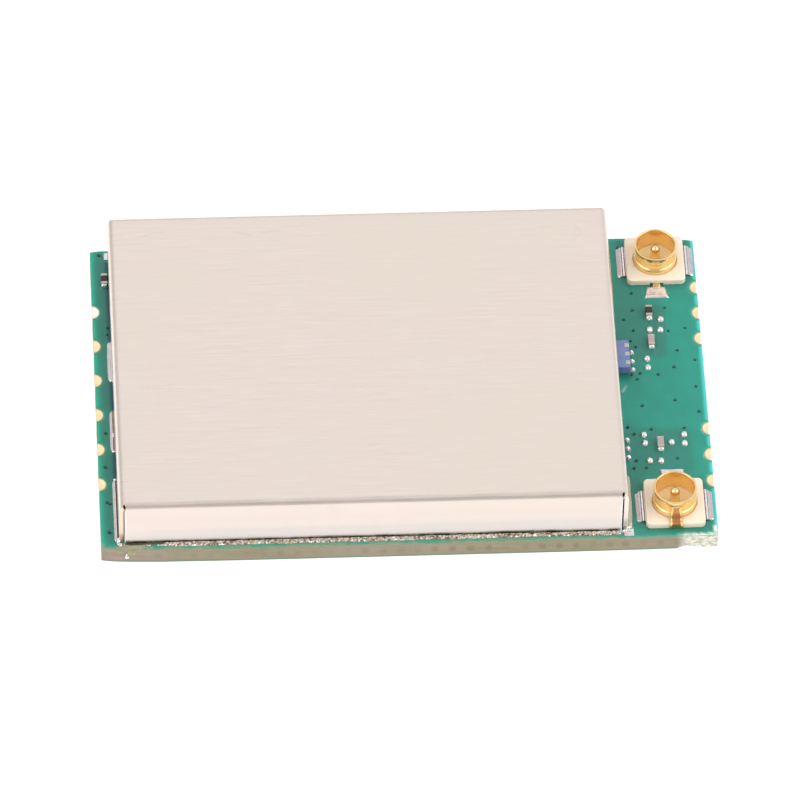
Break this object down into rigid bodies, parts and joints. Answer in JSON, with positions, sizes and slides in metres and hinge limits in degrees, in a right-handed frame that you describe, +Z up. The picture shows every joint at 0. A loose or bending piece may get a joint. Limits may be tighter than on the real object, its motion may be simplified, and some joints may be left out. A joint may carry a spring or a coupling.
{
  "type": "wifi module",
  "caption": "Castellated wifi radio module: a small circuit board with a soldered shield can, plated half-hole edge contacts and push-on coaxial antenna sockets.",
  "frame": {"origin": "middle of the board's underside", "axes": "+Z up, out of the board's component side; +X along the long side, towards the antenna sockets; +Y towards the board's back edge"},
  "size_m": [0.027, 0.0176, 0.0032],
  "materials": {
    "board_laminate": "green solder mask over laminate, satin",
    "contact_gold": "pale gold plating",
    "can_sheet": "tinned sheet, finely brushed along its length",
    "solder": "bright solder",
    "socket_insulator": "cream moulding",
    "socket_gold": "polished gold plating",
    "pin_gold": "polished gold plating",
    "filter_ceramic": "blue fired ceramic with silver terminals",
    "inductor_black": "black body with tinned ends",
    "feed_capacitor_ceramic": "mauve grey body with tinned ends",
    "chip_mould": "black moulding compound",
    "crystal_can": "metal lid on a ceramic base",
    "power_ferrite": "grey ferrite",
    "bead_ferrite": "dark ferrite with tinned ends",
    "capacitor_ceramic": "tan body with tinned ends",
    "resistor_film": "black glaze with tinned ends",
    "inductor_blue": "blue body with tinned ends",
    "balun_ceramic": "white body with tinned ends"
  },
  "bodies": {
    "root": {"circuit_board": "board_laminate", "edge_contacts_left": "contact_gold", "edge_contacts_right_rear": "contact_gold", "edge_contacts_right_front": "contact_gold", "shield_can": "can_sheet", "shield_solder": "solder", "rear_socket_insulator": "socket_insulator", "rear_socket_shell": "socket_gold", "rear_socket_pin": "pin_gold", "rear_socket_solder": "solder", "front_socket_insulator": "socket_insulator", "front_socket_shell": "socket_gold", "front_socket_pin": "pin_gold", "front_socket_solder": "solder", "rear_band_filter": "filter_ceramic", "front_band_filter": "filter_ceramic", "band_filter_solder": "solder", "feed_inductor": "inductor_black", "feed_capacitors": "feed_capacitor_ceramic", "edge_chip": "inductor_black", "strip_chip_solder": "solder", "bare_pad_solder": "solder", "wifi_chip": "chip_mould", "wifi_chip_solder": "solder", "crystal": "crystal_can", "crystal_capacitors": "capacitor_ceramic", "memory_chip": "chip_mould", "regulator_chip": "chip_mould", "power_inductor": "power_ferrite", "rear_amplifier_chip": "chip_mould", "front_amplifier_chip": "chip_mould", "baluns": "balun_ceramic", "matching_inductors": "inductor_blue", "matching_capacitors": "capacitor_ceramic", "bulk_capacitors": "capacitor_ceramic", "bypass_capacitors": "capacitor_ceramic", "amplifier_capacitors": "capacitor_ceramic", "bias_resistors": "resistor_film", "ferrite_beads": "bead_ferrite", "inner_chip_solder": "solder"}
  },
  "joints": []
}
